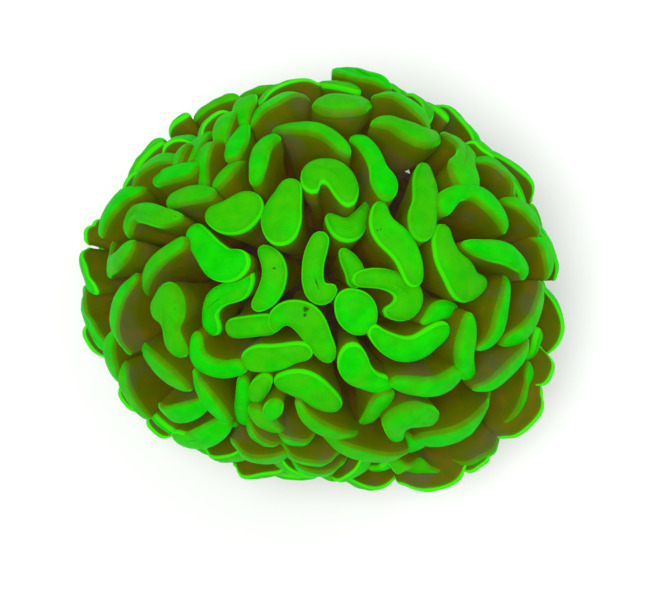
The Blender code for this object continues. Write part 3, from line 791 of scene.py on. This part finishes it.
def column(mesh, p, rng):
    """The polyp's body: its broad oral disc with a mouth slit, swollen out of the cup, and the
    tissue that wraps the cup's rim."""
    around = 72
    frames = cup_frames(p, np.linspace(0, 1, 41))
    u, v = frames[-1][1], frames[-1][2]
    a = np.linspace(0, 2 * np.pi, around, endpoint=False)
    hu = unit(u - (u @ p.heading) * p.heading)
    hv = np.cross(p.heading, hu)
    dirs = np.cos(a)[:, None] * hu + np.sin(a)[:, None] * hv
    reach = wedge_reach(p, dirs, 44.0)
    reach = np.minimum(reach, 44.0 - 14.0 * smooth(0.0, 0.8, -dirs[:, 2]))
    reach = np.radians(np.maximum(reach, (np.roll(reach, 1) + np.roll(reach, -1)) / 2) + 7.5)
    wobble = 1 + 0.03 * np.sin(3 * a + rng.uniform(0, 6)) + 0.02 * np.sin(7 * a + rng.uniform(0, 6))
    semi = np.array([DOME_RADIUS, DOME_RADIUS, DOME_RISE])
    # depth of 0.86 to 0.96 gives the disc and the tissue round the cup the darkest, purple stalk colour, which is
    # painted shade
    rings, depth = [], []
    for k in (0.04, 0.09, 0.16, 0.26, 0.38, 0.52, 0.66, 0.79, 0.90, 0.97, 1.0):
        angle = reach * k
        d = np.cos(angle)[:, None] * p.heading + np.sin(angle)[:, None] * dirs
        slit = 0.075 * math.exp(-((k / 0.13) ** 2))
        level = 0.62 - 0.07 * k**6 - 0.035 * float(smooth(0.97, 1.0, k)) - slit
        lumps = 1 + 0.018 * np.sin(9 * a + 14 * k + rng.uniform(0, 6)) * smooth(0.1, 0.5, k)
        rings.append(DOME_CENTRE + d * (semi * level) * lumps[:, None])
        depth.append(0.86)
    rim = rings[-1]
    mouth_point, cu, cv, size, along = frames[-1]
    lip = mouth_point + ((size + 0.9) * wobble * np.cos(a))[:, None] * cu + ((size + 0.9) * wobble * np.sin(a))[:, None] * cv
    for k in (0.25, 0.5, 0.75):
        pull = 1 - 0.16 * math.sin(math.pi * k)
        middle = mouth_point + (rim.mean(0) - mouth_point) * (1 - k)
        ring = rim * (1 - k) + lip * k
        rings.append(middle + (ring - middle) * pull), depth.append(0.93)
    for t in (1.0, 0.95, 0.88, 0.8, 0.72, 0.66):
        point, cu, cv, size, along = frames[int(round(t * 40))]
        thick = 0.9 * float(smooth(0.64, 0.8, t)) + 0.12
        ridge = 1 + 0.012 * np.cos(24 * a)
        ring = point + ((size + thick) * wobble * ridge * np.cos(a))[:, None] * cu + ((size + thick) * wobble * ridge * np.sin(a))[:, None] * cv
        rings.append(ring), depth.append(0.96)
    point, cu, cv, size, along = frames[int(round(0.64 * 40))]
    rings.append(point + ((size - 0.5) * np.cos(a))[:, None] * cu + ((size - 0.5) * np.sin(a))[:, None] * cv), depth.append(0.96)
    count = len(rings)
    faces = strip(count, around)
    faces.append(tuple(range(around)))
    low = (count - 1) * around
    faces.append(tuple(low + i for i in range(around))[::-1])
    points = np.vstack(rings) * SHAPE
    mesh.add(points, faces, tipness=0.0, edge=0.0, depth=np.repeat(depth, around), inner=0.5, rnd=0.5)


# ---------------------------------------------------------------- materials
def new_material(name):
    mat = bpy.data.materials.new(name)
    mat.use_nodes = True
    nodes, links = mat.node_tree.nodes, mat.node_tree.links
    nodes.clear()
    out = nodes.new("ShaderNodeOutputMaterial")
    shader = nodes.new("ShaderNodeBsdfPrincipled")
    links.new(shader.outputs[0], out.inputs[0])
    return mat, nodes, links, shader


class Graph:
    def __init__(self, nodes, links):
        self.nodes, self.links = nodes, links

    def value(self, name):
        node = self.nodes.new("ShaderNodeAttribute")
        node.attribute_type = "GEOMETRY"
        node.attribute_name = name
        return node.outputs["Fac"]

    def put(self, socket, source):
        if isinstance(source, (int, float)):
            socket.default_value = source
        elif isinstance(source, tuple):
            socket.default_value = source if len(source) == 4 else (*source, 1.0) if socket.type == "RGBA" else source
        else:
            self.links.new(source, socket)

    def math(self, op, a, b=None, c=None, clamp=False):
        node = self.nodes.new("ShaderNodeMath")
        node.operation = op
        node.use_clamp = clamp
        for i, x in enumerate((a, b, c)):
            if x is not None:
                self.put(node.inputs[i], x)
        return node.outputs[0]

    def ramp(self, fac, stops, smoothly=True):
        node = self.nodes.new("ShaderNodeValToRGB")
        node.color_ramp.interpolation = "EASE" if smoothly else "LINEAR"
        elements = node.color_ramp.elements
        while len(elements) < len(stops):
            elements.new(0.5)
        for element, (position, colour) in zip(elements, stops):
            element.position = position
            element.color = (*colour, 1.0) if len(colour) == 3 else colour
        self.put(node.inputs[0], fac)
        return node.outputs[0]

    def mix(self, fac, a, b, mode="MIX"):
        node = self.nodes.new("ShaderNodeMix")
        node.data_type = "RGBA"
        node.blend_type = mode
        node.clamp_result = False
        self.put(node.inputs[0], fac)
        self.put(node.inputs[6], a)
        self.put(node.inputs[7], b)
        return node.outputs[2]

    def noise(self, scale, detail=3.0, rough=0.55, coord=None, kind="noise"):
        node = self.nodes.new("ShaderNodeTexNoise" if kind == "noise" else "ShaderNodeTexVoronoi")
        node.inputs["Scale"].default_value = scale
        if kind == "noise":
            node.inputs["Detail"].default_value = detail
            node.inputs["Roughness"].default_value = rough
        if coord is not None:
            self.links.new(coord, node.inputs["Vector"])
        return node.outputs[0]

    def coord(self):
        node = self.nodes.new("ShaderNodeTexCoord")
        return node.outputs["Object"]

    def range(self, x, a, b, c=0.0, d=1.0):
        node = self.nodes.new("ShaderNodeMapRange")
        node.interpolation_type = "SMOOTHSTEP"
        for i, v in enumerate((x, a, b, c, d)):
            self.put(node.inputs[i], v)
        return node.outputs[0]


def flesh_material(pit_shade_spots):
    mat, nodes, links, shader = new_material("polyp_flesh")
    g = Graph(nodes, links)
    tipness, edge, depth, inner, rnd = (g.value(k) for k in ("tipness", "edge", "depth", "inner", "rnd"))
    at = g.coord()
    cloud = g.noise(230.0, 4.0, 0.55, at)
    fine = g.noise(1500.0, 3.0, 0.6, at)
    broad = g.noise(105.0, 2.0, 0.5, at)
    # cap: yellow green where the tissue is thick, purer green elsewhere, and a painted highlight: a bright line round
    # the rim where light would shine through the thin edge
    warm = g.ramp(cloud, [(0.25, (0.012, 0.275, 0.0002)), (0.75, (0.028, 0.305, 0.0002))])
    pure = g.ramp(cloud, [(0.25, (0.0012, 0.325, 0.0003)), (0.75, (0.004, 0.40, 0.0003))])
    hue = g.math("ADD", g.math("MULTIPLY", rnd, 0.45), g.math("MULTIPLY", broad, 1.0))
    face = g.mix(g.range(hue, 0.52, 0.92), warm, pure)
    face = g.mix(g.math("MULTIPLY", g.range(fine, 0.55, 0.8), 0.20), face, (0.004, 0.17, 0.0003))
    # painted highlight: brighter green along the cap's outline, where edge is high
    face = g.mix(g.range(edge, 0.35, 0.85), face, (0.026, 0.50, 0.0008))
    # stalk: olive under the tip, then brown, with greyish see-through patches; painted shade darkens it further down,
    # to a dim purple deep down and on the disc
    stalk = g.ramp(depth, [(0.0, (0.060, 0.105, 0.0003)), (0.09, (0.056, 0.068, 0.0003)), (0.30, (0.062, 0.054, 0.0004)), (0.60, (0.058, 0.033, 0.003)), (0.84, (0.034, 0.018, 0.014)), (1.0, (0.030, 0.017, 0.020))])
    pale = g.range(g.noise(80.0, 2.0, 0.5, at), 0.53, 0.70)
    stalk = g.mix(g.math("MULTIPLY", pale, 0.34), stalk, (0.072, 0.055, 0.044))
    stalk = g.mix(g.math("MULTIPLY", g.range(cloud, 0.42, 0.8), 0.50), stalk, (0.130, 0.072, 0.0004))
    blend = g.range(g.math("ADD", tipness, g.math("MULTIPLY", g.math("SUBTRACT", cloud, 0.5), 0.16)), 0.25, 0.88)
    colour = g.mix(blend, stalk, face)
    # painted shade: dark green spots at the pits and creases, which the mesh doesn't model
    nearest = None
    for centre, size in pit_shade_spots:
        gap = nodes.new("ShaderNodeVectorMath")
        gap.operation = "DISTANCE"
        links.new(at, gap.inputs[0])
        gap.inputs[1].default_value = tuple(centre * MM)
        share = g.math("MULTIPLY", gap.outputs["Value"], 1.0 / (size * MM))
        nearest = share if nearest is None else g.math("MINIMUM", nearest, share)
    ragged = g.math("ADD", nearest, g.math("MULTIPLY", g.math("SUBTRACT", fine, 0.5), 2.2))
    colour = g.mix(g.range(ragged, 0.75, 1.25, 0.85, 0.0), colour, (0.010, 0.035, 0.002))
    g.put(shader.inputs["Base Color"], colour)
    # painted light: the flesh glows in its own colour, a little more on the caps than the stalks, which brightens the
    # caps and lifts the shade between the tentacles
    g.put(shader.inputs["Emission Color"], colour)
    g.put(shader.inputs["Emission Strength"], g.math("ADD", g.math("MULTIPLY", blend, 0.10), 0.36))
    g.put(shader.inputs["Roughness"], g.range(fine, 0.2, 0.9, 0.42, 0.62))
    shader.inputs["Specular IOR Level"].default_value = 0.12
    shader.inputs["IOR"].default_value = 1.18
    shader.inputs["Subsurface Weight"].default_value = 0.10
    shader.inputs["Subsurface Radius"].default_value = (0.6, 1.0, 0.2)
    shader.inputs["Subsurface Scale"].default_value = 0.0014
    shader.inputs["Sheen Weight"].default_value = 0.04
    shader.inputs["Sheen Roughness"].default_value = 0.5
    shader.inputs["Sheen Tint"].default_value = (0.10, 1.0, 0.01, 1.0)
    bump = nodes.new("ShaderNodeBump")
    bump.inputs["Strength"].default_value = 0.3
    bump.inputs["Distance"].default_value = 0.00022
    height = g.math("ADD", g.math("MULTIPLY", cloud, 0.7), g.math("MULTIPLY", fine, 0.3))
    links.new(height, bump.inputs["Height"])
    links.new(bump.outputs[0], shader.inputs["Normal"])
    return mat


def stone_material(name, tone, algae):
    mat, nodes, links, shader = new_material(name)
    g = Graph(nodes, links)
    at = g.coord()
    grain = g.noise(900.0, 5.0, 0.65, at)
    patch = g.noise(75.0, 4.0, 0.6, at)
    spot = g.noise(150.0, 3.0, 0.55, at)
    pores = g.noise(1100.0, kind="voronoi", coord=at)
    r, gg, b = tone
    base = g.ramp(grain, [(0.25, (r * 0.55, gg * 0.52, b * 0.48)), (0.55, tone), (0.8, (min(1, r * 1.22), min(1, gg * 1.22), min(1, b * 1.2)))])
    rusty = g.mix(g.math("MULTIPLY", g.range(spot, 0.45, 0.7), 0.55), base, (0.21, 0.13, 0.055))
    pink = g.ramp(grain, [(0.3, (0.20, 0.055, 0.105)), (0.7, (0.42, 0.17, 0.25))])
    crust = g.mix(g.math("MULTIPLY", g.range(patch, 0.56 - 0.10 * algae, 0.66 - 0.10 * algae), 0.85 * algae), rusty, pink)
    turf = g.mix(g.math("MULTIPLY", g.range(g.noise(55.0, 3.0, 0.6, at), 0.55, 0.72), 0.6), crust, (0.060, 0.085, 0.028))
    # painted shade: darker in the small pores, where the bump sinks them
    dark = g.mix(g.range(pores, 0.0, 0.22, 0.75, 0.0), turf, (r * 0.22, gg * 0.18, b * 0.15))
    g.put(shader.inputs["Base Color"], dark)
    g.put(shader.inputs["Roughness"], g.range(grain, 0.2, 0.8, 0.80, 0.96))
    shader.inputs["Specular IOR Level"].default_value = 0.25
    bump = nodes.new("ShaderNodeBump")
    bump.inputs["Strength"].default_value = 0.8
    bump.inputs["Distance"].default_value = 0.0005
    height = g.math("ADD", g.math("MULTIPLY", grain, 0.6), g.math("MULTIPLY", g.range(pores, 0.0, 0.3), 0.5))
    links.new(height, bump.inputs["Height"])
    links.new(bump.outputs[0], shader.inputs["Normal"])
    return mat


STUMP = stone_material("stump_skeleton", (0.40, 0.33, 0.25), 1.0)
BRANCH = stone_material("branch_skeleton", (0.50, 0.42, 0.32), 0.8)
CUP = stone_material("corallite_skeleton", (0.58, 0.50, 0.39), 0.4)


def finish_piece(obj, nodes, material):
    obj.data.materials.clear()
    obj.data.materials.append(material)
    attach(obj, "root")
    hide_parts(*nodes)


pieces = []
for p in polyps:
    rng = np.random.default_rng(sum(ord(c) * (i + 3) for i, c in enumerate(p.where)))
    mesh = Mesh()
    column(mesh, p, rng)
    for tip in p.tips:
        tentacle(mesh, tip, p, rng)
    pieces.append(mesh)
FLESH = flesh_material(pit_shade_points(pieces))
for p, mesh in zip(polyps, pieces):
    obj = mesh.build("polyp_%s_flesh" % p.where)
    finish_piece(obj, ["polyp_" + p.where], FLESH)
    print(p.where, len(p.tips), "tentacles", len(obj.data.polygons), "faces")


# ---------------------------------------------------------------- stony skeleton
def cup_piece(p):
    """A ribbed cup: costae down its side, a rounded wall at the mouth and thin blades inside it."""
    rng = np.random.default_rng(len(p.where) * 7 + ord(p.where[0]))
    around, rows = 96, 34
    ribs = 24
    values = np.linspace(0, 1, rows)
    frames = cup_frames(p, values)
    a = np.linspace(0, 2 * np.pi, around, endpoint=False)
    turn = p.mouth[0] * 0.09 + p.mouth[1] * 0.06
    rings = []
    for t, (point, u, v, size, along) in list(zip(values, frames))[::-1]:
        lobes = 0.025 * math.sin(math.pi * min(1.0, t * 1.3))
        r = size * (1 + lobes * (np.cos(3 * a + turn) + 0.6 * np.cos(5 * a - 2 * turn)))
        rib = np.abs(np.cos(ribs / 2 * a + 0.5 * math.sin(3 * t + turn))) ** 3
        r = r - 0.55 + 0.5 * rib * (0.35 + 0.65 * t) + 0.12 * np.sin(11 * t + 2 * a) * (1 - t)
        r += 0.10 * np.sin(41 * t + 5 * np.sin(3 * a)) + rng.normal(0, 0.05, around)
        rings.append(point + (r * np.cos(a))[:, None] * u + (r * np.sin(a))[:, None] * v)
    outer = rings
    # the inside of the mouth, with blades that stand towards the middle
    point, u, v, size, along = frames[-1]
    inside = []
    for depth_in, share in ((-0.35, 0.93), (-0.9, 0.86), (-2.0, 0.80), (-3.2, 0.6), (-3.9, 0.3), (-4.1, 0.08)):
        blade = np.abs(np.cos(ribs / 2 * a)) ** 4
        r = size * share * (1 - 0.34 * blade * (0.3 < share))
        z = depth_in + 1.4 * blade * (share < 0.9)
        inside.append(point + along * z[:, None] + (r * np.cos(a))[:, None] * u + (r * np.sin(a))[:, None] * v)
    rings = inside[::-1] + outer
    faces = strip(len(rings), around)
    faces.append(tuple(range(around)))
    low = (len(rings) - 1) * around
    faces.append(tuple(low + i for i in range(around))[::-1])
    mesh = Mesh()
    mesh.add(np.vstack(rings) * SHAPE, faces)
    return mesh.build("corallite_%s_stone" % p.where)


for p in polyps:
    finish_piece(cup_piece(p), ["corallite_" + p.where], CUP)


def rough_copy(node, voxel, amount, flat_below=None):
    """A finer, weathered copy of a CAD solid: remeshed, rounded, then roughened along its normals."""
    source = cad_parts[node]
    mesh = source.data.copy()
    obj = bpy.data.objects.new(node + "_stone", mesh)
    bpy.context.scene.collection.objects.link(obj)
    remesh = obj.modifiers.new("fine", "REMESH")
    remesh.mode = "VOXEL"
    remesh.voxel_size = voxel * MM
    soften = obj.modifiers.new("soften", "SMOOTH")
    soften.factor, soften.iterations = 0.5, 10
    graph = bpy.context.evaluated_depsgraph_get()
    fine = bpy.data.meshes.new_from_object(obj.evaluated_get(graph))
    obj.modifiers.clear()
    obj.data = fine
    count = len(fine.vertices)
    co, no = np.zeros(count * 3), np.zeros(count * 3)
    fine.vertices.foreach_get("co", co)
    fine.vertices.foreach_get("normal", no)
    co, no = co.reshape(-1, 3), no.reshape(-1, 3)
    push = np.empty(count)
    for i in range(count):
        q = Vector(co[i] / MM)
        push[i] = 0.9 * noise.noise(q * 0.16) + 0.5 * noise.noise(q * 0.42) + 0.35 * abs(noise.noise(q * 0.95)) - 0.15
        push[i] += 0.16 * noise.noise(q * 2.1)
    angle = np.arctan2(co[:, 1] / SQUASH_Y, co[:, 0])
    level = co[:, 2] / MM
    if flat_below is not None:
        hold = smooth(0.3, 1.6, level)
        push = push * hold - 0.2 * (1 - hold)
        push *= 1 - 0.9 * (np.abs(no[:, 2]) > 0.92) * (level < 1.0)
    co = co + no * (push * amount * MM)[:, None]
    if flat_below is not None:
        co[:, 2] = np.maximum(co[:, 2], 0.0)
        co[(level < 0.45), 2] = 0.0
    fine.vertices.foreach_set("co", co.ravel())
    fine.update()
    fine.shade_smooth()
    return obj


finish_piece(rough_copy("trunk", 0.85, 1.15, 0.0), ["trunk"], STUMP)
finish_piece(rough_copy("branch_centre", 0.8, 0.8), ["branch_centre"], BRANCH)
for side in SIDE_AZIMUTH:
    finish_piece(rough_copy("branch_" + side, 0.7, 0.8), ["branch_" + side], BRANCH)


# ---------------------------------------------------------------- stage
def stage():
    floor_mesh = bpy.data.meshes.new("floor")
    s = 3.0
    floor_mesh.from_pydata([(-s, -s, 0), (s, -s, 0), (s, s, 0), (-s, s, 0)], [], [(0, 1, 2, 3)])
    floor = bpy.data.objects.new("floor", floor_mesh)
    bpy.context.scene.collection.objects.link(floor)
    mat, nodes, links, shader = new_material("floor_pale")
    shader.inputs["Base Color"].default_value = (0.86, 0.86, 0.86, 1)
    shader.inputs["Roughness"].default_value = 0.9
    shader.inputs["Specular IOR Level"].default_value = 0.1
    floor_mesh.materials.append(mat)

    world = bpy.context.scene.world or bpy.data.worlds.new("studio")
    bpy.context.scene.world = world
    world.use_nodes = True
    back = world.node_tree.nodes.get("Background")
    back.inputs[0].default_value = (1, 1, 1, 1)
    back.inputs[1].default_value = 0.75

    def area(name, at, size, power, to=(0, 0, 0.06)):
        light = bpy.data.lights.new(name, "AREA")
        light.shape = "DISK"
        light.size, light.energy = size, power
        obj = bpy.data.objects.new(name, light)
        bpy.context.scene.collection.objects.link(obj)
        obj.location = at
        obj.rotation_mode = "QUATERNION"
        obj.rotation_quaternion = (Vector(to) - Vector(at)).to_track_quat("-Z", "Y")

    area("key", (-0.15, -0.22, 0.95), 0.5, 6.0)
    area("fill", (0.6, 0.3, 0.6), 0.6, 1.6)

    cam = bpy.data.cameras.new("camera")
    cam.sensor_width = 36.0
    cam.lens = FOCAL / 664.0 * 36.0
    cam.clip_start, cam.clip_end = 0.01, 20
    eye = bpy.data.objects.new("camera", cam)
    bpy.context.scene.collection.objects.link(eye)
    eye.location = Vector(EYE * MM)
    eye.rotation_mode = "QUATERNION"
    eye.rotation_quaternion = Vector(AHEAD).to_track_quat("-Z", "Y")
    bpy.context.scene.camera = eye
    bpy.context.scene.view_settings.view_transform = "Standard"


stage()
